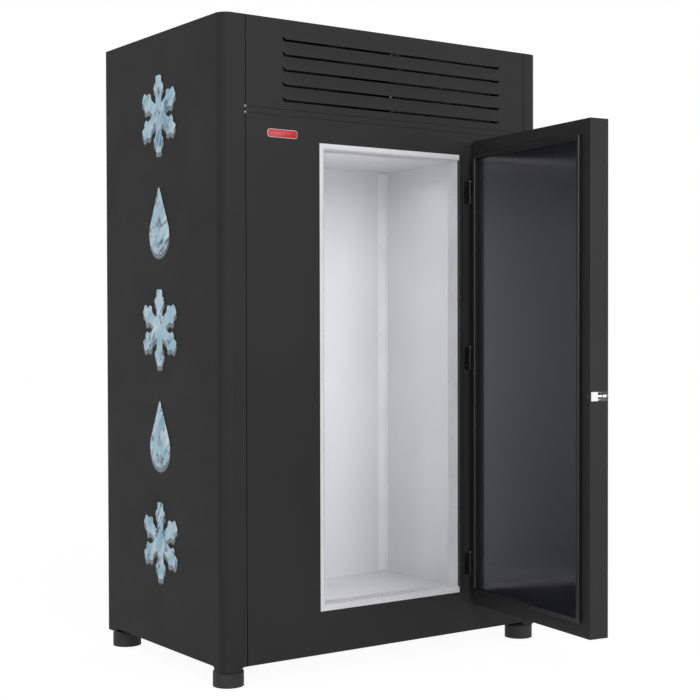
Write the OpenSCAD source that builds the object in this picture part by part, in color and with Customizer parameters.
// Ice merchandiser freezer: upright insulated cabinet with one side-hung door.
// Millimetres. X runs to the right along the front, Y to the back, Z up.
// The origin lies on the floor, midway between the four feet.
// The door is drawn open; it is modelled closed and turned about its hinge axis.

/* [Cabinet] */
// Width over both side wrappers
cab_w = 1250; // [1180:5:1340]
// Depth from the front panel to the back panel
cab_d = 780; // [740:5:860]
// Height from the underside of the base to the roof
cab_h = 1948; // [1930:2:2040]
// Height of the underside above the floor
underside_z = 60; // [58:1:80]
// Thickness of the outer and inner sheets
sheet = 1.5; // [1:0.1:2]
// Outer radius of the two front vertical corners
corner_r = 35; // [25:1:45]
// Distance of the left front seam from the left side
seam_left = 81; // [72:1:90]
// Distance of the right front seam from the right side
seam_right = 66; // [60:1:76]
// Width of the gap at each panel seam
seam_gap = 1; // [0.6:0.1:1.5]
// Width of the flange that each wrapper turns onto the back
rear_flange = 30; // [20:1:40]
// Depth of the turned-in edges of the front sheets
return_d = 12; // [8:1:16]

/* [Insulation] */
// Thickness of the side walls, sheets included
side_t = 120; // [104:1:130]
// Thickness of the front wall, sheets included
front_t = 60; // [52:1:66]
// Thickness of the back wall, sheets included
back_t = 60; // [52:1:72]
// Thickness of the insulation under the floor
floor_foam = 80; // [66:1:90]
// Thickness of the insulation above the ceiling
ceiling_foam = 71; // [62:1:76]
// Leg of the corner trim on the back wall
trim_back = 36; // [24:1:40]
// Leg of the corner trim on the side wall
trim_side = 14; // [10:1:24]
// Thickness of the corner trim
trim_t = 2; // [1.5:0.1:3]

/* [Doorway] */
// Distance of the doorway from the left side
door_left = 346; // [320:1:360]
// Width of the hole in the front panel
door_w = 575; // [540:1:600]
// Height of the hole's lower edge above the underside
door_sill = 134; // [128:1:146]
// Distance of the hole's upper edge below the louvre panel's rail
door_top = 74; // [68:1:84]
// Width of the frame round the doorway
frame_w = 19; // [17:0.5:24]
// Nose radius of the frame
frame_nose = 8; // [4:0.5:9]
// Depth of the frame's front part
frame_d = 10; // [9:0.5:14]
// Wall of the frame where it lines the doorway
frame_wall = 2; // [1.5:0.1:3]

/* [Machine bay] */
// Height of the louvre panel
louvre_h = 272; // [264:1:280]
// Height of the rail under the louvre panel
rail_h = 19; // [16:0.5:22]
// Depth of the rail's two legs
rail_leg = 24; // [16:1:30]
// Number of louvres
louvre_n = 5; // [3:1:5]
// Distance of the first louvre slit below the roof
louvre_top = 61; // [56:0.5:66]
// Distance from one slit to the next
louvre_pitch = 45.5; // [43:0.5:48]
// Width of a louvre
louvre_w = 872; // [760:2:890]
// Distance of the louvres' centre right of the cabinet's centre
louvre_x = 20; // [0:1:40]
// Height of a louvre hood
hood_h = 33; // [26:0.5:34]
// How far a hood stands out of the panel
hood_out = 7.5; // [6:0.5:9]
// Height of a hood's upright lip
hood_lip = 4; // [3:0.5:6]
// Height of the slit below a hood's lip
slit_h = 5.5; // [4:0.5:6]
// Length of the sloping ends of a hood
hood_end = 18; // [14:1:24]
// Rise of the lip at both ends of a hood
hood_cut = 13; // [10:0.5:15]

/* [Door] */
// Thickness of the door
leaf_t = 68; // [62:1:72]
// Angle at which the door is drawn open
open_deg = 83; // [0:1:100]
// Gap between the front panel and the shut door
leaf_gap = 14; // [13:0.5:16]
// Overlap of the door on the latch side of the hole
lap_latch = 38; // [36:1:50]
// Overlap of the door above the hole
lap_top = 46; // [36:1:50]
// Overlap of the door below the hole
lap_bottom = 42; // [36:1:50]
// Radius of the door's two outer vertical edges
leaf_r = 3; // [1:0.5:5]
// Width of the gasket
gasket_w = 14; // [12:0.5:15]
// Clearance of the soft gasket from the shut frame and the hole's edge
gasket_clear = 0.3; // [0.2:0.1:0.5]

/* [Hinges] */
// Distance of the hinge axis from the edge of the hole
hinge_x = 22; // [21:0.5:26]
// Distance of the hinge axis from the edge of the door
hinge_e = 8; // [7.5:0.5:9]
// Height of a hinge
hinge_h = 73; // [60:1:90]
// Height of the lowest hinge's centre above the hole's lower edge
hinge_low = 93; // [80:1:120]
// Height of the middle hinge's centre above the middle of the hole
hinge_mid = 53; // [0:1:80]
// Distance of the top hinge's centre below the hole's upper edge
hinge_high = 123; // [90:1:140]
// Radius of the knuckles
knuckle_r = 6; // [5:0.5:6]
// Radius of the hinge pin
pin_r = 3; // [2:0.5:3.5]
// Radial running clearance of pins and shafts
run_clear = 0.05; // [0.03:0.01:0.08]
// Vertical gap between knuckles
knuckle_gap = 0.3; // [0.2:0.1:0.6]
// Thickness of a hinge leaf
hinge_leaf_t = 3; // [2:0.5:3]

/* [Lock and handle] */
// Height of the lock above the floor
lock_z = 870; // [820:1:920]
// Distance of the lock axis from the free edge of the door
lock_in = 13; // [13:0.5:16]
// Radius of the lock bolt
bolt_r = 4; // [3:0.5:4]
// Width of the white guide block, through the door's thickness
guide_w = 24; // [20:0.5:26]
// Height of the white guide block
guide_h = 27; // [24:0.5:32]
// How far the guide block stands out of the free edge
guide_out = 1.5; // [0.5:0.5:3]
// Radius of the key barrel
barrel_r = 9; // [8:0.5:10]
// Height of the middle of the handle above the floor
handle_z = 1010; // [980:1:1120]
// Distance of the handle pocket from the free edge
handle_in = 75; // [60:1:120]
// Width of the handle pocket
handle_w = 100; // [84:1:120]
// Height of the handle pocket
handle_h = 170; // [140:1:220]
// Depth of the handle pocket
handle_d = 36; // [28:1:44]

/* [Feet] */
// Radius of the round foot pads
pad_r = 47; // [40:1:50]
// Height of the foot pads
pad_h = 48; // [44:1:54]
// Distance of a foot's centre from the side of the cabinet
foot_x = 44; // [42:1:60]
// Distance of a foot's centre from the front and the back
foot_y = 50; // [44:1:60]
// Width of the painted leg seen from the front
leg_w = 63; // [62:1:90]
// Depth of the painted leg seen from the side
leg_d = 58; // [58:1:90]
// Radius of the blend between leg and underside
leg_blend = 9; // [4:0.5:9]
// Radius of the foot stud
stud_r = 6; // [5:0.5:8]
// Length of the foot stud above the pad
stud_h = 44; // [36:1:60]
// Radius of the bush that holds the stud
bush_r = 14; // [12:1:18]

/* [Refrigeration] */
// Radius of the condenser fan
cond_fan_r = 90; // [80:1:100]
// Radius of the evaporator fan
evap_fan_r = 96; // [80:1:100]
// Wall of the insulated evaporator box
evap_wall = 30; // [24:1:34]
// Height of the evaporator box
evap_h = 240; // [215:1:250]
// Length of the evaporator box
evap_len = 500; // [480:1:520]
// Depth of the evaporator box
evap_dep = 410; // [380:1:420]
// Reach of the evaporator box over the cabin's side wall
evap_over = 20; // [14:1:25]
// Distance of the evaporator box in front of the cabin's back wall
evap_back = 50; // [44:1:60]
// Height of the evaporator coil
coil_h = 150; // [140:1:156]
// Width of the air's way down beside the evaporator coil
air_way = 60; // [50:1:70]
// Height of the drip pan
pan_h = 22; // [18:1:26]
// Reach of the drip pan past both ends of the coil
pan_out = 20; // [16:1:24]
// Distance from one row of the condenser's tubes to the next
cond_step = 31; // [30:0.1:31.4]
// Distance of the condenser from the right side
cond_in = 185; // [170:1:200]
// Length of the condenser
cond_len = 380; // [340:1:400]
// Depth of the condenser
cond_d = 50; // [40:1:60]
// Length of the filter drier
drier_len = 110; // [90:1:130]
// Distance of the compressor's middle from the back
comp_back = 270; // [250:1:290]
// Distance of the first dropping line from the evaporator box
line_out = 80; // [60:1:90]
// Distance from one dropping line to the next
line_gap = 50; // [40:1:54]
// Radius of the compressor can
comp_r = 78; // [66:1:84]
// Height of the compressor can
comp_h = 170; // [150:1:184]
// Height of the rubber mounts under the compressor
grommet_h = 14; // [10:1:18]
// Radius of the refrigerant lines
line_r = 5; // [4:0.5:6]
// Bend radius of the refrigerant lines
line_bend = 18; // [14:1:22]
// Radius of the drain spout
drain_r = 16; // [13:0.5:18]
// Length of the drain spout below the underside
drain_len = 30; // [20:1:40]

/* [Hidden] */
$fn = 64;

charcoal = "#39393a";
black = "#1c1c1d";
white = "#e9e9e6";
liner_grey = "#c4c4c6";
foam_cream = "#e3d7a8";
steel = "#a9abad";
copper = "#b5714a";

roof_z = underside_z + cab_h;
side_x = cab_w / 2;
front_y = -cab_d / 2;
back_y = cab_d / 2;
panel_x0 = -side_x + seam_left + seam_gap / 2;
panel_x1 = side_x - seam_right - seam_gap / 2;

tray_top = underside_z + sheet + floor_foam;
floor_z = tray_top + sheet;
cabin_x = side_x - side_t;
cabin_y0 = front_y + front_t;
cabin_y1 = back_y - back_t;
seam_upper = roof_z - louvre_h;
seam_lower = seam_upper - rail_h;
deck_top = seam_upper - seam_gap / 2 - sheet;
deck_z = deck_top - sheet;
ceiling_z = deck_z - ceiling_foam - sheet;

hole_x0 = -side_x + door_left;
hole_x1 = hole_x0 + door_w;
hole_z0 = underside_z + door_sill;
hole_z1 = seam_lower - door_top;
door_h = hole_z1 - hole_z0;
hinge_z = [hole_z0 + hinge_low, (hole_z0 + hole_z1) / 2 + hinge_mid, hole_z1 - hinge_high];

axis_x = hole_x1 + hinge_x;
axis_y = front_y - leaf_gap / 2;
leaf_x0 = hole_x0 - lap_latch;
leaf_x1 = axis_x - hinge_e;
leaf_z0 = hole_z0 - lap_bottom;
leaf_z1 = hole_z1 + lap_top;
leaf_in = front_y - leaf_gap;
leaf_out = leaf_in - leaf_t;
liner_in = gasket_w / 2 + gasket_clear;

lock_x = leaf_x0 + lock_in;
guide_y = leaf_in - 3.5;
guide_d = lock_in + 12;
case_d = guide_d + 2;
barrel_neck = guide_y - guide_w - 2.5;
bolt_travel = 20;
handle_x0 = leaf_x0 + handle_in;
handle_wall = 2.5;
handle_rim = 12;

leg_drop = underside_z - pad_h;

// machine bay and evaporator, measured from the cabinet's walls
evap_x0 = -cabin_x - evap_over;
evap_x1 = evap_x0 + evap_len;
evap_y1 = cabin_y1 - evap_back;
evap_y0 = evap_y1 - evap_dep;
vent_in = evap_wall + 10;
cond_x1 = side_x - cond_in;
cond_x0 = cond_x1 - cond_len;
cond_y0 = front_y + 40;
cond_z0 = deck_top;
cond_rows = 8;
cond_z1 = cond_z0 + cond_rows * cond_step;
cond_in_z = cond_z1 - cond_step / 2;
cond_out_z = cond_z0 + cond_step / 2;
stub = 3;
fan_x = (cond_x0 + cond_x1) / 2;
fan_z = (cond_z0 + cond_z1) / 2;
shroud_y = cond_y0 + cond_d;
shroud_d = 30;
cond_motor_y = shroud_y + shroud_d + 14;
comp_x = fan_x;
comp_y = back_y - comp_back;
comp_z = deck_top + grommet_h;
stub_len = 12;
dis_x = comp_x + comp_r / 4;
dis_y = comp_y - comp_r / 4;
suc_z = comp_z + 60;
drier_x = cond_x1 + 60;
drier_y = (comp_y - comp_r + shroud_y) / 2 - drier_len / 2;
drier_z = cond_out_z + 60;
evap_fan_x = evap_x0 + evap_wall + evap_fan_r + 14;
evap_fan_y = (evap_y0 + evap_y1) / 2;
evap_fan_z = deck_top + 34;
coil_in = 30;
coil_x0 = evap_fan_x + evap_fan_r + 40;
coil_x1 = evap_x1 - evap_wall - air_way;
coil_y0 = evap_y0 + evap_wall + coil_in;
coil_y1 = evap_y1 - evap_wall - coil_in;
coil_z = deck_top + pan_h;
coil_rows = 6;
evap_in_z = coil_z + coil_h / coil_rows / 2;
evap_out_z = coil_z + coil_h - coil_h / coil_rows / 2;
ctrl_x = -side_x + 90;
ctrl_w = 130;
ctrl_d = 80;
ctrl_h = 110;
ctrl_y = front_y + 34;
knob_z = deck_top + 62;
drain_x = 0;
drain_y = 60;
collar_r = drain_r + 2;
strainer_r = drain_r + 16;
gland_x = side_x - 105;
gland_z = deck_top + 46;
gland_r = 10;

// ---------------------------------------------------------------- helpers

// box between two corners
module slab(a, b) {
    translate(a) cube(b - a);
}

// cylinder along Y from y0 to y1
module rod_y(x, z, r, y0, y1) {
    translate([x, y1, z]) rotate([90, 0, 0]) cylinder(r = r, h = y1 - y0);
}

// outline of the cabinet seen from above, moved in by a distance
module plan(in) {
    r = corner_r - in;
    translate([-side_x + in, front_y + corner_r]) square([cab_w - 2 * in, cab_d - corner_r - in]);
    translate([-side_x + corner_r, front_y + in]) square([cab_w - 2 * corner_r, r]);
    for (s = [-1, 1])
        translate([s * (side_x - corner_r), front_y + corner_r]) circle(r = r);
}

// plate in the XZ plane with round corners, from y0 to y1
module round_plate(x0, x1, z0, z1, r, y0, y1) {
    translate([0, y1, 0]) rotate([90, 0, 0]) linear_extrude(y1 - y0) {
        translate([x0 + r, z0]) square([x1 - x0 - 2 * r, z1 - z0]);
        if (z1 - z0 > 2 * r)
            translate([x0, z0 + r]) square([x1 - x0, z1 - z0 - 2 * r]);
        for (x = [x0 + r, x1 - r], z = z1 - z0 > 2 * r ? [z0 + r, z1 - r] : [z0 + r])
            translate([x, z]) circle(r = r);
    }
}

// prism of the doorway, moved in by a distance, from y0 to y1
module doorway(in, y0, y1) {
    slab([hole_x0 + in, y0, hole_z0 + in], [hole_x1 - in, y1, hole_z1 - in]);
}

// rectangular frame with mitred corners; the child profile has depth as x and
// the distance inwards from the outer edge as y
module mitred_frame(w, h, reach) {
    for (s = [[0, w, h], [90, h, w], [180, w, h], [270, h, w]])
        rotate([0, s[0], 0]) translate([0, 0, -s[2] / 2]) intersection() {
            translate([-s[1] / 2, 0, 0]) rotate([90, 0, 90]) linear_extrude(s[1]) children();
            rotate([90, 0, 0]) translate([0, 0, -cab_d]) linear_extrude(2 * cab_d) polygon([
                [-s[1] / 2, 0], [s[1] / 2, 0],
                [s[1] / 2 - reach, reach], [-s[1] / 2 + reach, reach]
            ]);
        }
}

// turns what is drawn for the shut door to the drawn angle
module on_door() {
    translate([axis_x, axis_y, 0]) rotate([0, 0, open_deg]) translate([-axis_x, -axis_y, 0]) children();
}

// square-cornered route of a pipe, with a round bend at each corner
module pipe(p, r, bend) {
    function way(i) = (p[i + 1] - p[i]) / norm(p[i + 1] - p[i]);
    last = len(p) - 2;
    for (i = [0:last]) {
        d = way(i);
        a = p[i] + d * (i == 0 ? 0 : bend);
        b = p[i + 1] - d * (i == last ? 0 : bend);
        turn = abs(d[2]) > 0.5 ? [d[2] > 0 ? 0 : 180, 0, 0]
            : abs(d[1]) > 0.5 ? [d[1] > 0 ? -90 : 90, 0, 0]
            : [0, d[0] > 0 ? 90 : -90, 0];
        translate(a) rotate(turn) cylinder(r = r, h = norm(b - a));
    }
    for (i = [1:1:last]) {
        u = way(i - 1);
        v = way(i);
        w = cross(u, v);
        c = p[i] - bend * u + bend * v;
        multmatrix([
            [-v[0], u[0], w[0], c[0]],
            [-v[1], u[1], w[1], c[1]],
            [-v[2], u[2], w[2], c[2]],
            [0, 0, 0, 1]
        ]) rotate_extrude(angle = 90) translate([bend, 0]) circle(r = r);
    }
}

// ---------------------------------------------------------------- outer sheets

// side sheet with its round front corner, front flange and rear flange
module wrapper(s) {
    seam = s < 0 ? seam_left : seam_right;
    color(charcoal) translate([0, 0, underside_z]) linear_extrude(cab_h) intersection() {
        difference() {
            plan(0);
            plan(sheet);
        }
        union() {
            translate([s < 0 ? -side_x : side_x - seam + seam_gap / 2, front_y])
                square([seam - seam_gap / 2, cab_d / 2]);
            translate([s < 0 ? -side_x : side_x - rear_flange, 0]) square([rear_flange, cab_d / 2]);
        }
    }
}

module side_wrapper_left() {
    wrapper(-1);
}

module side_wrapper_right() {
    wrapper(1);
}

// lid with a turned-down edge at the sides and the back
module roof_panel() {
    edge_h = 25;
    color(charcoal) union() {
        translate([0, 0, roof_z - sheet]) linear_extrude(sheet) plan(sheet);
        translate([0, 0, roof_z - sheet - edge_h]) linear_extrude(edge_h) intersection() {
            difference() {
                plan(sheet);
                plan(2 * sheet);
            }
            translate([-side_x, front_y + 2 * corner_r]) square([cab_w, cab_d]);
        }
    }
}

// deep tray that carries the floor insulation
module base_tray() {
    color(charcoal) difference() {
        translate([0, 0, underside_z]) linear_extrude(sheet + floor_foam) plan(sheet);
        translate([0, 0, underside_z + sheet]) linear_extrude(2 * floor_foam) plan(2 * sheet);
        for (sx = [-1, 1], sy = [-1, 1])
            translate([sx * (side_x - foot_x), sy * (back_y - foot_y), 0])
                cylinder(r = bush_r, h = tray_top);
        translate([drain_x, drain_y, 0]) cylinder(r = collar_r, h = tray_top);
    }
}

// rear sheet with the machine bay's vent slots
module back_panel() {
    slot_h = 8;
    slot_w = 84;
    slot_pitch = 20;
    slot_step = slot_w + 14;
    x1 = side_x - rear_flange - seam_gap;
    vent_x = comp_x - 2.5 * slot_step;
    vent_z = deck_top + 30;
    color(charcoal) difference() {
        slab([-x1, back_y - sheet, underside_z], [x1, back_y, roof_z]);
        for (i = [0:4], j = [0:4])
            round_plate(
                vent_x + i * slot_step, vent_x + i * slot_step + slot_w,
                vent_z + j * slot_pitch, vent_z + j * slot_pitch + slot_h,
                slot_h / 2, back_y - 2 * sheet, back_y + sheet
            );
        rod_y(gland_x, gland_z, gland_r, back_y - 2 * sheet, back_y + sheet);
    }
}

// front sheet with the doorway; the hole's edge and the top edge are turned in
module front_panel() {
    top = seam_lower - seam_gap / 2;
    color(charcoal) difference() {
        union() {
            slab([panel_x0, front_y, underside_z], [panel_x1, front_y + sheet, top]);
            slab([panel_x0, front_y, top - sheet], [panel_x1, front_y + rail_leg, top]);
            doorway(-sheet, front_y, front_y + return_d);
        }
        doorway(0, front_y - sheet, front_y + 2 * return_d);
        rod_y(lock_x, lock_z, bolt_r + 1, front_y - sheet, front_y + return_d);
    }
}

// channel between the front panel and the louvre panel
module front_rail() {
    z0 = seam_lower + seam_gap / 2;
    z1 = seam_upper - seam_gap / 2;
    color(charcoal) difference() {
        slab([panel_x0, front_y, z0], [panel_x1, front_y + rail_leg, z1]);
        slab([panel_x0 - 1, front_y + sheet, z0 + sheet], [panel_x1 + 1, front_y + rail_leg + 1, z1 - sheet]);
    }
}

// room in the insulation for the edges that meet at the lower seam
module seam_room() {
    slab(
        [panel_x0, front_y, seam_lower - seam_gap / 2 - sheet],
        [panel_x1, front_y + rail_leg, seam_lower + seam_gap / 2 + sheet]
    );
}

// block of a hood: its top and its ends slope back to the panel, and its lower
// corners are cut off at 45 degrees, so that the lip rises at both ends; the hollow
// is the same block inside the wall, and reaches below the lip as the open slit
module hood_block(wall, drop) {
    back = sheet + wall;
    front = -hood_out + wall;
    top = hood_h - wall;
    top_y = wall * (1 - hood_out / (hood_h - hood_lip));
    end = louvre_w / 2 - wall;
    end_y = wall * (1 - hood_out / hood_end);
    flat = louvre_w / 2 - hood_end;
    rise = hood_cut - wall - drop * sqrt(2);
    run = rise + drop;
    intersection() {
        translate([-louvre_w / 2, 0, 0]) rotate([90, 0, 90]) linear_extrude(louvre_w) polygon([
            [back, -drop], [front, -drop], [front, hood_lip], [top_y, top], [back, top]
        ]);
        translate([0, 0, -hood_h]) linear_extrude(3 * hood_h) polygon([
            [-end, back], [end, back], [end, end_y], [flat, front], [-flat, front], [-end, end_y]
        ]);
        translate([0, hood_h, 0]) rotate([90, 0, 0]) linear_extrude(2 * hood_h) polygon([
            [-end, rise], [-end + run, -drop], [end - run, -drop], [end, rise],
            [end, 2 * hood_h], [-end, 2 * hood_h]
        ]);
    }
}

// removable sheet with pressed louvres and turned-in edges
module louvre_panel() {
    z0 = seam_upper + seam_gap / 2;
    top = roof_z - 2 * sheet;
    color(charcoal) difference() {
        union() {
            slab([panel_x0, front_y, z0], [panel_x1, front_y + sheet, roof_z]);
            difference() {
                slab([panel_x0, front_y, z0], [panel_x1, front_y + return_d, top + sheet]);
                slab(
                    [panel_x0 + sheet, front_y - 1, z0 + sheet],
                    [panel_x1 - sheet, front_y + return_d + 1, top]
                );
            }
            for (i = [0:louvre_n - 1])
                translate([louvre_x, front_y, roof_z - louvre_top - i * louvre_pitch]) hood_block(0, 0);
        }
        for (i = [0:louvre_n - 1])
            translate([louvre_x, front_y, roof_z - louvre_top - i * louvre_pitch])
                hood_block(sheet, slit_h);
    }
}

// floor of the machine bay; the evaporator's air passes through its hole
module machine_deck() {
    color(steel) difference() {
        translate([0, 0, deck_z]) linear_extrude(sheet) plan(sheet);
        air_hole(deck_z - 1, deck_top + 1);
    }
}

// shaft of the evaporator's air through deck, insulation and ceiling
module air_hole(z0, z1) {
    slab([evap_x0 + vent_in, evap_y0 + vent_in, z0], [evap_x1 - vent_in, evap_y1 - vent_in, z1]);
}

// ---------------------------------------------------------------- insulation

module side_foam(s) {
    x0 = cabin_x + sheet;
    color(foam_cream) difference() {
        translate([0, 0, tray_top]) linear_extrude(deck_z - tray_top) intersection() {
            plan(sheet);
            translate([s < 0 ? -side_x : x0, front_y]) square([side_x - x0, cab_d]);
        }
        seam_room();
    }
}

module foam_left() {
    side_foam(-1);
}

module foam_right() {
    side_foam(1);
}

module foam_back() {
    color(foam_cream) slab(
        [-cabin_x - sheet, cabin_y1 + sheet, tray_top], [cabin_x + sheet, back_y - sheet, deck_z]
    );
}

module foam_floor() {
    color(foam_cream) difference() {
        translate([0, 0, underside_z + sheet]) linear_extrude(floor_foam) plan(2 * sheet);
        for (sx = [-1, 1], sy = [-1, 1])
            translate([sx * (side_x - foot_x), sy * (back_y - foot_y), 0])
                cylinder(r = bush_r, h = underside_z + stud_h + 4);
        translate([drain_x, drain_y, 0]) cylinder(r = collar_r, h = tray_top + 1);
    }
}

module foam_ceiling() {
    color(foam_cream) difference() {
        slab(
            [-cabin_x - sheet, cabin_y0 - sheet, ceiling_z + sheet],
            [cabin_x + sheet, cabin_y1 + sheet, deck_z]
        );
        air_hole(ceiling_z, deck_top);
    }
}

module foam_front() {
    color(foam_cream) difference() {
        slab([-cabin_x - sheet, front_y + sheet, tray_top], [cabin_x + sheet, cabin_y0 - sheet, deck_z]);
        doorway(0, front_y, front_y + frame_d);
        doorway(-sheet, front_y, front_y + return_d);
        doorway(frame_w - frame_wall, front_y, cabin_y0);
        seam_room();
        keeper_box();
    }
}

// ---------------------------------------------------------------- cabin lining

module side_liner(s) {
    x0 = s < 0 ? -cabin_x - sheet : cabin_x;
    color(liner_grey) slab(
        [x0, cabin_y0 - sheet, tray_top], [x0 + sheet, cabin_y1 + sheet, ceiling_z + sheet]
    );
}

module liner_left() {
    side_liner(-1);
}

module liner_right() {
    side_liner(1);
}

module liner_back() {
    color(liner_grey) slab([-cabin_x, cabin_y1, tray_top], [cabin_x, cabin_y1 + sheet, ceiling_z + sheet]);
}

module liner_floor() {
    color(liner_grey) difference() {
        slab([-cabin_x, cabin_y0, tray_top], [cabin_x, cabin_y1, floor_z]);
        translate([drain_x, drain_y, tray_top - 1]) cylinder(r = strainer_r, h = 2 + sheet);
    }
}

module liner_ceiling() {
    color(liner_grey) difference() {
        slab([-cabin_x, cabin_y0, ceiling_z], [cabin_x, cabin_y1, ceiling_z + sheet]);
        air_hole(ceiling_z - 1, ceiling_z + 2 * sheet);
    }
}

module liner_front() {
    color(liner_grey) difference() {
        slab([-cabin_x, cabin_y0 - sheet, tray_top], [cabin_x, cabin_y0, ceiling_z + sheet]);
        doorway(frame_w - frame_wall, cabin_y0 - 2 * sheet, cabin_y0 + sheet);
    }
}

// angle trims that cover the two rear corners of the cabin
module corner_trims() {
    lift = 3;
    color(liner_grey) for (s = [-1, 1])
        mirror([s < 0 ? 1 : 0, 0, 0]) translate([cabin_x, cabin_y1, floor_z + lift])
            linear_extrude(ceiling_z - floor_z - 2 * lift) polygon([
                [0, 0], [-trim_back, 0], [-trim_back, -trim_t], [-trim_t, -trim_t],
                [-trim_t, -trim_side], [0, -trim_side]
            ]);
}

// bar of the frame along X from x0 to x1, its outer edge at z = 0; the inner edge
// is rounded towards the room
module frame_bar(x0, x1) {
    translate([x0, 0, 0]) rotate([90, 0, 90]) linear_extrude(x1 - x0) union() {
        difference() {
            square([frame_d, frame_w]);
            translate([-1, frame_w - frame_nose]) square([frame_nose + 1, frame_nose + 1]);
        }
        intersection() {
            square([frame_d, frame_w]);
            translate([frame_nose, frame_w - frame_nose]) circle(r = frame_nose);
        }
    }
}

// frame on three sides of the doorway, with a thin lining through the wall
module door_frame() {
    far = hole_x1 - frame_w;
    color(white) union() {
        translate([0, front_y, hole_z0]) frame_bar(hole_x0, far);
        translate([0, front_y, hole_z1]) mirror([0, 0, 1]) frame_bar(hole_x0, far);
        translate([hole_x0, front_y, hole_z1]) rotate([0, 90, 0]) frame_bar(0, door_h);
        difference() {
            doorway(frame_w - frame_wall, front_y + frame_d, cabin_y0);
            doorway(frame_w, front_y, cabin_y0 + 1);
        }
    }
}

// strip that closes the frame on the hinge side
module hinge_stile() {
    edge = 2;
    x0 = hole_x1 - frame_w;
    color(black) translate([0, 0, hole_z0]) linear_extrude(door_h) union() {
        translate([x0, front_y + edge]) square([frame_w, frame_d - edge]);
        translate([x0 + edge, front_y]) square([frame_w - edge, edge]);
        translate([x0 + edge, front_y + edge]) circle(r = edge);
    }
}

// strainer flush with the cabin floor, with a spout through the base
module floor_drain() {
    slot_r = 2.2;
    color(steel) translate([drain_x, drain_y, 0]) difference() {
        union() {
            translate([0, 0, tray_top]) cylinder(r = strainer_r, h = sheet);
            translate([0, 0, underside_z - 2]) cylinder(r = collar_r, h = tray_top - underside_z + 2);
            translate([0, 0, underside_z - drain_len]) cylinder(r = drain_r, h = drain_len);
        }
        translate([0, 0, underside_z - drain_len - 1])
            cylinder(r = drain_r - 4, h = tray_top - underside_z + drain_len + 1);
        for (a = [0:45:315])
            rotate([0, 0, a]) translate([drain_r - 4 - 2 * slot_r, 0, tray_top - 1])
                cylinder(r = slot_r, h = 2 + sheet);
        translate([0, 0, tray_top - 1]) cylinder(r = slot_r, h = 2 + sheet);
    }
}

// ---------------------------------------------------------------- legs and feet

// side view of a leg: straight at the outside, blended into the underside inside
module leg_profile(w) {
    difference() {
        square([w + leg_blend, leg_drop]);
        translate([w + leg_blend, leg_drop - leg_blend]) circle(r = leg_blend);
        translate([w, -1]) square([leg_blend + 1, leg_drop - leg_blend + 1]);
    }
}

// painted corner legs with the bushes that take the foot studs
module corner_legs() {
    color(charcoal) for (sx = [-1, 1], sy = [-1, 1])
        mirror([sx > 0 ? 1 : 0, 0, 0]) difference() {
            union() {
                intersection() {
                    translate([0, 0, pad_h]) linear_extrude(leg_drop) plan(0);
                    translate([-side_x, cab_d, pad_h]) rotate([90, 0, 0])
                        linear_extrude(2 * cab_d) leg_profile(leg_w);
                    mirror([0, sy > 0 ? 1 : 0, 0]) translate([-cab_w, front_y, pad_h]) rotate([90, 0, 90])
                        linear_extrude(cab_w) leg_profile(leg_d);
                }
                translate([-side_x + foot_x, sy * (back_y - foot_y), underside_z - 1])
                    cylinder(r = bush_r, h = stud_h + 5);
            }
            translate([-side_x + foot_x, sy * (back_y - foot_y), pad_h - 1])
                cylinder(r = stud_r + run_clear, h = stud_h + 2);
        }
}

// levelling foot: round pad moulded round its stud
module foot(sx, sy) {
    top = pad_h + stud_h;
    color(black) translate([sx * (side_x - foot_x), sy * (back_y - foot_y), 0])
        rotate_extrude($fn = 96) polygon([
            [0, 0], [pad_r, 0], [pad_r, pad_h - 6], [pad_r - 4, pad_h], [stud_r, pad_h],
            [stud_r, top - 1.5], [stud_r - 1.5, top], [0, top]
        ]);
}

module foot_front_left() {
    foot(-1, -1);
}

module foot_front_right() {
    foot(1, -1);
}

module foot_back_left() {
    foot(-1, 1);
}

module foot_back_right() {
    foot(1, 1);
}

// ---------------------------------------------------------------- hinges

// fixed leaves: flat plate on the front panel with the two outer knuckles
module hinge_frame_leaves() {
    part = hinge_h / 3;
    leaf_a = 3;
    leaf_b = 27;
    color(black) for (z = hinge_z) {
        difference() {
            union() {
                slab(
                    [hole_x1 + leaf_a, front_y - hinge_leaf_t, z - hinge_h / 2],
                    [axis_x + leaf_b, front_y, z + hinge_h / 2]
                );
                for (s = [-1, 1]) {
                    translate([axis_x, axis_y, z + s * part - part / 2]) cylinder(r = knuckle_r, h = part);
                    slab(
                        [axis_x - knuckle_r, axis_y, z + s * part - part / 2],
                        [axis_x + knuckle_r, front_y, z + s * part + part / 2]
                    );
                }
            }
            slab(
                [axis_x - knuckle_r - 2, axis_y - knuckle_r - 1, z - part / 2],
                [axis_x + leaf_b + 1, front_y + 1, z + part / 2]
            );
            translate([axis_x, axis_y, z - hinge_h]) cylinder(r = pin_r + run_clear, h = 2 * hinge_h);
        }
    }
}

// moving leaves: plate on the door's edge with the middle knuckle
module hinge_door_leaves() {
    part = hinge_h / 3 - 2 * knuckle_gap;
    leaf_len = 34;
    color(black) on_door() for (z = hinge_z) {
        difference() {
            union() {
                slab(
                    [leaf_x1, leaf_in - leaf_len, z - hinge_h / 2],
                    [leaf_x1 + hinge_leaf_t, leaf_in, z + hinge_h / 2]
                );
                slab(
                    [leaf_x1, leaf_in - leaf_len, z - part / 2],
                    [leaf_x1 + hinge_leaf_t, axis_y, z + part / 2]
                );
                translate([axis_x, axis_y, z - part / 2]) cylinder(r = knuckle_r, h = part);
            }
            translate([axis_x, axis_y, z - part]) cylinder(r = pin_r + run_clear, h = 2 * part);
        }
    }
}

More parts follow.
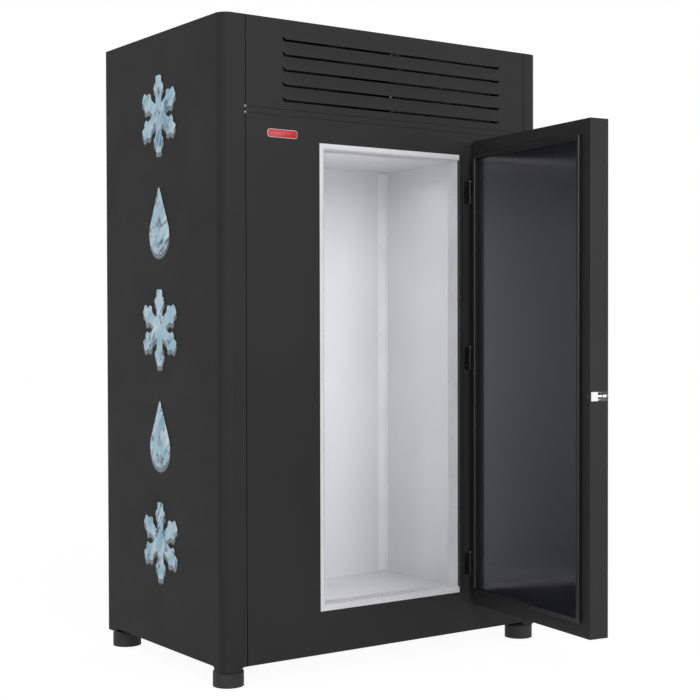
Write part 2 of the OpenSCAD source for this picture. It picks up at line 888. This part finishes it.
// hinge pins with a flat head
module hinge_pins() {
    head_h = 2;
    color(steel) for (z = hinge_z)
        translate([axis_x, axis_y, z - hinge_h / 2 - 1]) {
            cylinder(r = pin_r, h = hinge_h + 1 + run_clear);
            translate([0, 0, hinge_h + 1 + run_clear]) cylinder(r = knuckle_r - 1, h = head_h);
        }
}

// ---------------------------------------------------------------- door

// outline of the door seen from above, moved in by a distance
module leaf_plan(in) {
    r = max(leaf_r - in, 0.5);
    translate([leaf_x0 + in, leaf_out + in + r]) square([leaf_x1 - leaf_x0 - 2 * in, leaf_t - 2 * in - r]);
    translate([leaf_x0 + in + r, leaf_out + in]) square([leaf_x1 - leaf_x0 - 2 * in - 2 * r, r]);
    for (x = [leaf_x0 + in + r, leaf_x1 - in - r])
        translate([x, leaf_out + in + r]) circle(r = r);
}

// space inside the door's sheets
module leaf_core() {
    translate([0, 0, leaf_z0 + sheet]) linear_extrude(leaf_z1 - leaf_z0 - 2 * sheet) leaf_plan(sheet);
}

// outer body of the handle's pocket
module handle_body(in, y0, y1) {
    round_plate(
        handle_x0 + in, handle_x0 + handle_w - in, handle_z - handle_h / 2 + in, handle_z + handle_h / 2 - in,
        10 - in, y0, y1
    );
}

// outer body of the lock's box
module lock_body() {
    intersection() {
        leaf_core();
        slab(
            [leaf_x0 + sheet, leaf_out + sheet, lock_z - guide_h / 2 - 2],
            [leaf_x0 + sheet + case_d, leaf_in - sheet, lock_z + guide_h / 2 + 2]
        );
    }
}

// room inside the lock's box, open at the door's free edge
module lock_room(x0) {
    slab(
        [x0, leaf_out + sheet + 2, lock_z - guide_h / 2],
        [leaf_x0 + guide_d, guide_y, lock_z + guide_h / 2]
    );
}

// folded pan: front, four edges and the turned-in inner border
module door_skin() {
    color(charcoal) on_door() difference() {
        translate([0, 0, leaf_z0]) linear_extrude(leaf_z1 - leaf_z0) leaf_plan(0);
        leaf_core();
        doorway(liner_in, leaf_in - 2 * sheet, leaf_in + sheet);
        handle_body(0, leaf_out - sheet, leaf_out + 2 * sheet);
        slab(
            [leaf_x0 - sheet, leaf_out + sheet + 2, lock_z - guide_h / 2],
            [leaf_x0 + 2 * sheet, guide_y, lock_z + guide_h / 2]
        );
        rod_y(lock_x, lock_z, barrel_r + run_clear, leaf_out - sheet, leaf_out + 2 * sheet);
        rod_y(lock_x, lock_z, bolt_r + 0.5, leaf_in - 2 * sheet, leaf_in + sheet);
    }
}

module door_foam() {
    color(foam_cream) on_door() difference() {
        leaf_core();
        handle_body(0, leaf_out - sheet, leaf_out + handle_d);
        lock_body();
    }
}

// glossy inner panel, flush with the turned-in border
module door_liner() {
    color(black) on_door() doorway(liner_in, leaf_in - sheet, leaf_in);
}

// hollow soft seal with mitred corners
module door_gasket() {
    w = gasket_w;
    d = leaf_gap - gasket_clear;
    color("#111112") on_door()
        translate([(hole_x0 + hole_x1) / 2, leaf_in, (hole_z0 + hole_z1) / 2])
            mitred_frame(door_w - 2 * gasket_clear, door_h - 2 * gasket_clear, w) {
                difference() {
                    polygon([
                        [0, 0], [2.2, 0], [2.2, w * 0.25], [5, w * 0.25], [6.2, w * 0.07], [d - 2.5, 0.3],
                        [d, w * 0.12], [d, w * 0.88], [d - 2.5, w - 0.3], [6.2, w * 0.93], [5, w * 0.75],
                        [2.2, w * 0.75], [2.2, w], [0, w]
                    ]);
                    polygon([
                        [6.6, w * 0.22], [d - 2.6, w * 0.16], [d - 2.6, w * 0.84], [6.6, w * 0.78]
                    ]);
                }
            }
}

// moulded pocket with a rim and a lip that the fingers hold
module handle_cup() {
    rim_t = 2;
    lip_w = 26;
    lip_t = 4;
    color(black) on_door() {
        difference() {
            union() {
                handle_body(-handle_rim, leaf_out - rim_t, leaf_out);
                handle_body(0, leaf_out - rim_t, leaf_out + handle_d);
            }
            difference() {
                handle_body(handle_wall, leaf_out - 2 * rim_t, leaf_out + handle_d - handle_wall);
                slab(
                    [handle_x0, leaf_out - 3 * rim_t, handle_z - handle_h / 2],
                    [handle_x0 + lip_w, leaf_out - rim_t + lip_t, handle_z + handle_h / 2]
                );
            }
        }
    }
}

// ---------------------------------------------------------------- lock

module lock_case() {
    color(steel) on_door() difference() {
        lock_body();
        lock_room(leaf_x0);
        rod_y(lock_x, lock_z, barrel_r + run_clear, leaf_out, leaf_out + 3 * sheet + 2);
        rod_y(lock_x, lock_z, bolt_r + 0.5, guide_y - 1, leaf_in);
    }
}

module lock_guide() {
    color(white) on_door() difference() {
        slab(
            [leaf_x0 - guide_out, guide_y - guide_w, lock_z - guide_h / 2],
            [leaf_x0 + guide_d, guide_y, lock_z + guide_h / 2]
        );
        rod_y(lock_x, lock_z, bolt_r + run_clear, guide_y - guide_w - 1, guide_y + 1);
    }
}

// key barrel: face, body and the sleeve that drives the bolt
module lock_barrel() {
    gap = 0.2;
    face_t = 2;
    key_w = 1.8;
    color(steel) on_door() difference() {
        union() {
            rod_y(lock_x, lock_z, barrel_r + 2.5, leaf_out - gap - face_t, leaf_out - gap);
            rod_y(lock_x, lock_z, barrel_r, leaf_out - gap, leaf_out + 16);
            rod_y(lock_x, lock_z, bolt_r + 1.5, leaf_out + 16, barrel_neck);
        }
        rod_y(lock_x, lock_z, bolt_r + run_clear, leaf_out + 7, barrel_neck + 1);
        slab(
            [lock_x - key_w / 2, leaf_out - gap - face_t - 1, lock_z - 4],
            [lock_x + key_w / 2, leaf_out + 3, lock_z + 4]
        );
    }
}

module lock_bolt() {
    color(steel) on_door() {
        rod_y(lock_x, lock_z, bolt_r, leaf_out + 9, leaf_in - 3);
        translate([lock_x, leaf_in - 2, lock_z]) rotate([90, 0, 0])
            cylinder(r1 = bolt_r - 1, r2 = bolt_r, h = 1);
    }
}

module keeper_box() {
    slab([lock_x - 14, front_y + sheet, lock_z - 20], [lock_x + 14, front_y + sheet + 15, lock_z + 20]);
}

// block behind the front panel that the lock bolt enters
module lock_keeper() {
    color(steel) difference() {
        keeper_box();
        rod_y(lock_x, lock_z, bolt_r + 1, front_y, leaf_in + bolt_travel + 4);
    }
}

// ---------------------------------------------------------------- condensing unit

// finned block: plates across X on rows of tubes joined by return bends, with both
// free ends at x1; the number of rows is even
module coil(x0, x1, y0, y1, z0, z1, fins, rows) {
    end_t = 2;
    fin_t = 0.8;
    tube_r = 4.5;
    step = (z1 - z0) / rows;
    y = (y0 + y1) / 2;
    pitch = (x1 - x0 - 2 * end_t) / (fins + 1);
    for (x = [x0, x1 - end_t])
        slab([x, y0, z0], [x + end_t, y1, z1]);
    for (i = [1:fins])
        translate([x0 + end_t + i * pitch - fin_t / 2, y0 + 1, z0 + 2])
            cube([fin_t, y1 - y0 - 2, z1 - z0 - 4]);
    for (i = [0:rows - 1])
        translate([x0 - stub, y, z0 + step * (i + 0.5)])
            rotate([0, 90, 0]) cylinder(r = tube_r, h = x1 - x0 + 2 * stub);
    for (i = [0:rows - 2])
        translate([i % 2 == 1 ? x1 + stub : x0 - stub, y, z0 + step * (i + 1)])
            rotate([0, 0, i % 2 == 1 ? 0 : 180]) rotate([90, 0, 0]) rotate([0, 0, -90])
                rotate_extrude(angle = 180) translate([step / 2, 0]) circle(r = tube_r);
}

module condenser_coil() {
    color(steel) coil(cond_x0, cond_x1, cond_y0, cond_y0 + cond_d, cond_z0, cond_z1, 20, cond_rows);
}

module condenser_shroud() {
    wall = 2;
    lip = 6;
    color(black) difference() {
        union() {
            slab([cond_x0, shroud_y, cond_z0], [cond_x1, shroud_y + wall, cond_z1]);
            rod_y(fan_x, fan_z, cond_fan_r + lip + wall, shroud_y, shroud_y + shroud_d);
        }
        rod_y(fan_x, fan_z, cond_fan_r + lip, shroud_y - 1, shroud_y + shroud_d + 1);
    }
}

// motor on three arms, with its shaft towards the fan
module condenser_fan_motor() {
    body_r = 38;
    body_h = 62;
    shaft_r = 4;
    arm_w = 12;
    arm_t = 3;
    color(black) union() {
        rod_y(fan_x, fan_z, body_r, cond_motor_y, cond_motor_y + body_h);
        rod_y(fan_x, fan_z, shaft_r, shroud_y + 8, cond_motor_y);
        for (a = [90, 210, 330])
            translate([fan_x, 0, fan_z]) rotate([0, -a, 0]) {
                slab(
                    [body_r - 2, cond_motor_y, -arm_w / 2],
                    [cond_fan_r + 8, cond_motor_y + arm_t, arm_w / 2]
                );
                slab(
                    [cond_fan_r + 8 - arm_t, shroud_y + shroud_d, -arm_w / 2],
                    [cond_fan_r + 8, cond_motor_y + arm_t, arm_w / 2]
                );
            }
    }
}

// bladed rotor about Z, standing on z = 0; each blade is a bent plate whose
// twist comes from a cylinder that lies along the blade
module rotor(r, hub_r, h, blades, bore) {
    chord = r * 0.8;
    camber = 90;
    plate = 1.6;
    difference() {
        union() {
            cylinder(r = hub_r, h = h);
            for (i = [0:blades - 1])
                rotate([0, 0, i * 360 / blades]) intersection() {
                    translate([0, 0, 1]) difference() {
                        cylinder(r = r, h = h - 2);
                        translate([0, 0, -1]) cylinder(r = hub_r - 1, h = h);
                    }
                    translate([0, -chord / 2, 0]) cube([r + 1, chord, h]);
                    rotate([26, 0, 0]) translate([0, 0, h / 2 - camber]) rotate([0, 90, 0]) difference() {
                        cylinder(r = camber + plate / 2, h = r + 1, $fn = 96);
                        translate([0, 0, -1]) cylinder(r = camber - plate / 2, h = r + 3, $fn = 96);
                    }
                }
        }
        translate([0, 0, -1]) cylinder(r = bore, h = h + 2);
    }
}

module condenser_fan() {
    color(steel) translate([fan_x, shroud_y + 4, fan_z]) rotate([-90, 0, 0])
        rotor(cond_fan_r, 26, 24, 5, 4 + run_clear);
}

// hermetic can with its foot plate and terminal cover
module compressor() {
    plate_t = 3;
    seam_h = comp_h * 0.5;
    crown = 26;
    color(black) translate([comp_x, comp_y, comp_z]) difference() {
        union() {
            rotate_extrude($fn = 72) polygon(concat(
                [[0, plate_t], [comp_r - crown, plate_t]],
                [for (a = [-80:20:0]) [comp_r - crown + crown * cos(a), plate_t + crown + crown * sin(a)]],
                [[comp_r, seam_h - 3], [comp_r + 4, seam_h - 3]],
                [[comp_r + 4, seam_h + 3], [comp_r, seam_h + 3]],
                [for (a = [0:15:75]) [comp_r - crown + crown * cos(a), comp_h - crown + crown * sin(a)]],
                [[0, comp_h]]
            ));
            slab([-comp_r - 22, -comp_r + 6, 0], [comp_r + 22, comp_r - 6, plate_t]);
            slab([-26, -comp_r - 22, 44], [26, -comp_r + 20, 100]);
            translate([dis_x - comp_x, dis_y - comp_y, comp_h / 2])
                cylinder(r = line_r + 1, h = comp_h / 2 + stub_len);
            translate([-comp_r - stub_len, 0, suc_z - comp_z]) rotate([0, 90, 0])
                cylinder(r = line_r + 1, h = comp_r);
        }
        for (sx = [-1, 1], sy = [-1, 1])
            translate([sx * (comp_r + 6), sy * (comp_r - 24), -1]) cylinder(r = 4.5, h = plate_t + 2);
    }
}

// rubber mounts: a flange under the foot plate and a neck through it
module compressor_grommets() {
    color(black) for (sx = [-1, 1], sy = [-1, 1])
        translate([comp_x + sx * (comp_r + 6), comp_y + sy * (comp_r - 24), deck_top])
            rotate_extrude($fn = 32) polygon([
                [0, 0], [12, 0], [13, 2], [10, 4], [10, 7], [13, grommet_h - 1.5], [12, grommet_h],
                [4.5, grommet_h], [4.5, grommet_h + 3], [6.5, grommet_h + 3.6],
                [4, grommet_h + 8], [0, grommet_h + 8]
            ]);
}

// cylinder with tapered ends in the liquid line
module filter_drier() {
    r = 15;
    neck = line_r + 2;
    cone = 14;
    color(copper) translate([drier_x, drier_y, drier_z]) rotate([-90, 0, 0])
        rotate_extrude($fn = 48) polygon([
            [0, 0], [neck, 0], [neck, 4], [r, 4 + cone], [r, drier_len - 4 - cone],
            [neck, drier_len - 4], [neck, drier_len], [0, drier_len]
        ]);
}

// discharge, liquid and suction lines, each ending on the piece it joins
module refrigerant_lines() {
    y = cond_y0 + cond_d / 2;
    far_x = drier_x + line_gap;
    behind_y = comp_y + comp_r + 2 * line_bend;
    drop_x = evap_x1 + line_out;
    color(copper) {
        pipe([
            [dis_x, dis_y, comp_z + comp_h + stub_len], [dis_x, dis_y, cond_in_z],
            [far_x, dis_y, cond_in_z], [far_x, y, cond_in_z], [cond_x1 + stub, y, cond_in_z]
        ], line_r, line_bend);
        pipe([
            [cond_x1 + stub, y, cond_out_z], [drier_x, y, cond_out_z],
            [drier_x, y, drier_z], [drier_x, drier_y, drier_z]
        ], line_r, line_bend);
        pipe([
            [drier_x, drier_y + drier_len, drier_z], [drier_x, behind_y, drier_z],
            [drop_x, behind_y, drier_z], [drop_x, evap_fan_y, drier_z],
            [drop_x, evap_fan_y, evap_in_z], [coil_x1 + stub, evap_fan_y, evap_in_z]
        ], line_r, line_bend);
        pipe([
            [coil_x1 + stub, evap_fan_y, evap_out_z], [drop_x + line_gap, evap_fan_y, evap_out_z],
            [drop_x + line_gap, evap_fan_y, suc_z], [drop_x + line_gap, comp_y, suc_z],
            [comp_x - comp_r - stub_len, comp_y, suc_z]
        ], line_r, line_bend);
    }
}

// ---------------------------------------------------------------- evaporator

// insulated box over the hole in the deck
module evaporator_box() {
    color(foam_cream) difference() {
        slab([evap_x0, evap_y0, deck_top], [evap_x1, evap_y1, deck_top + evap_h]);
        slab(
            [evap_x0 + evap_wall, evap_y0 + evap_wall, deck_top - 1],
            [evap_x1 - evap_wall, evap_y1 - evap_wall, deck_top + evap_h - evap_wall]
        );
        for (z = [evap_in_z, evap_out_z])
            translate([evap_x1 - evap_wall - 1, evap_fan_y, z]) rotate([0, 90, 0])
                cylinder(r = line_r + 0.3, h = evap_wall + 2);
    }
}

module evaporator_coil() {
    color(steel) coil(
        coil_x0, coil_x1, coil_y0, coil_y1, coil_z, coil_z + coil_h, 16, coil_rows
    );
}

// shallow tray under the coil, resting on the front and back edges of the deck's hole
module drip_pan() {
    wall = 1.5;
    post_w = 6;
    post_d = 12;
    a = [coil_x0 - pan_out, evap_y0 + evap_wall + 1, deck_top];
    b = [coil_x1 + pan_out, evap_y1 - evap_wall - 1, coil_z];
    color(liner_grey) {
        difference() {
            slab(a, b);
            slab(a + [wall, wall, wall], b + [-wall, -wall, 1]);
        }
        // posts that carry the coil's two end plates
        for (x = [coil_x0, coil_x1 - post_w], y = [coil_y0 + 1, coil_y1 - post_d - 1])
            slab([x, y, deck_top + wall], [x + post_w, y + post_d, coil_z]);
    }
}

// motor hung from the box's roof, shaft down
module evaporator_fan_motor() {
    top = deck_top + evap_h - evap_wall;
    body_z = evap_fan_z + 40;
    color(black) translate([evap_fan_x, evap_fan_y, 0]) {
        translate([0, 0, body_z]) cylinder(r = 34, h = 56);
        translate([0, 0, body_z + 56]) cylinder(r = 12, h = top - body_z - 56);
        translate([0, 0, top - 3]) cylinder(r = 30, h = 3);
        translate([0, 0, evap_fan_z + 2]) cylinder(r = 3, h = body_z - evap_fan_z - 2);
    }
}

module evaporator_fan() {
    color(black) translate([evap_fan_x, evap_fan_y, evap_fan_z]) rotor(evap_fan_r, 22, 22, 5, 3 + run_clear);
}

// slotted cover under the cabin ceiling
module evaporator_grille() {
    t = 5;
    bar = 9;
    gap = 9;
    x0 = evap_x0 + evap_wall;
    x1 = evap_x1 - evap_wall;
    y0 = evap_y0 + evap_wall;
    y1 = evap_y1 - evap_wall;
    middle = (x0 + x1) / 2;
    border = 18;
    n = floor((y1 - y0 - 2 * border) / (bar + gap));
    color(liner_grey) difference() {
        slab([x0, y0, ceiling_z - t], [x1, y1, ceiling_z]);
        for (i = [0:n - 1], s = [0, 1])
            translate([0, y0 + border + i * (bar + gap), ceiling_z]) slab(
                [s == 0 ? x0 + border : middle + bar, 0, -t - 1],
                [s == 0 ? middle - bar : x1 - border, gap, 1]
            );
    }
}

// ---------------------------------------------------------------- controls

// box with a lid and the thermostat's shaft
module control_box() {
    shaft_r = 3;
    color(steel) union() {
        slab([ctrl_x, ctrl_y, deck_top], [ctrl_x + ctrl_w, ctrl_y + ctrl_d, deck_top + ctrl_h]);
        slab(
            [ctrl_x - 2, ctrl_y, deck_top + ctrl_h],
            [ctrl_x + ctrl_w + 2, ctrl_y + ctrl_d + 2, deck_top + ctrl_h + 2]
        );
        rod_y(ctrl_x + ctrl_w / 2, knob_z, shaft_r, ctrl_y - 10, ctrl_y);
    }
}

// fluted knob with a pointer rib
module thermostat_knob() {
    r = 17;
    h = 14;
    color(black) translate([ctrl_x + ctrl_w / 2, ctrl_y - 0.3, knob_z]) rotate([90, 0, 0]) difference() {
        union() {
            cylinder(r = r + 3, h = 3);
            difference() {
                cylinder(r = r, h = h);
                for (a = [20:20:340])
                    rotate([0, 0, a + 90]) translate([r + 1, 0, -1]) cylinder(r = 2, h = h + 2, $fn = 24);
            }
            slab([-1.5, 0, 2], [1.5, r + 2, h + 1]);
        }
        translate([0, 0, -1]) cylinder(r = 3 + run_clear, h = 12);
    }
}

// gland for the supply cable, clamped to the back panel
module cable_gland() {
    bore = 5.5;
    y = back_y;
    color(black) difference() {
        union() {
            rod_y(gland_x, gland_z, gland_r, y - 9, y);
            translate([gland_x, y - sheet, gland_z]) rotate([90, 0, 0])
                cylinder(r = gland_r + 5, h = 5, $fn = 6);
            translate([gland_x, y + 7, gland_z]) rotate([90, 0, 0]) cylinder(r = gland_r + 5, h = 7, $fn = 6);
            translate([gland_x, y + 20, gland_z]) rotate([90, 0, 0])
                cylinder(r1 = gland_r - 2, r2 = gland_r + 2, h = 13);
        }
        rod_y(gland_x, gland_z, bore, y - 12, y + 24);
    }
}

// ---------------------------------------------------------------- nodes

side_wrapper_left();
side_wrapper_right();
roof_panel();
base_tray();
back_panel();
front_panel();
front_rail();
louvre_panel();
machine_deck();
foam_left();
foam_right();
foam_back();
foam_floor();
foam_ceiling();
foam_front();
liner_left();
liner_right();
liner_back();
liner_floor();
liner_ceiling();
liner_front();
corner_trims();
door_frame();
hinge_stile();
corner_legs();
floor_drain();
foot_front_left();
foot_front_right();
foot_back_left();
foot_back_right();
hinge_frame_leaves();
hinge_pins();
lock_keeper();
door_skin();
door_foam();
door_liner();
door_gasket();
handle_cup();
hinge_door_leaves();
lock_case();
lock_guide();
lock_barrel();
lock_bolt();
condenser_coil();
condenser_shroud();
condenser_fan_motor();
condenser_fan();
compressor();
compressor_grommets();
filter_drier();
refrigerant_lines();
evaporator_box();
evaporator_coil();
evaporator_fan_motor();
evaporator_fan();
evaporator_grille();
drip_pan();
control_box();
thermostat_knob();
cable_gland();
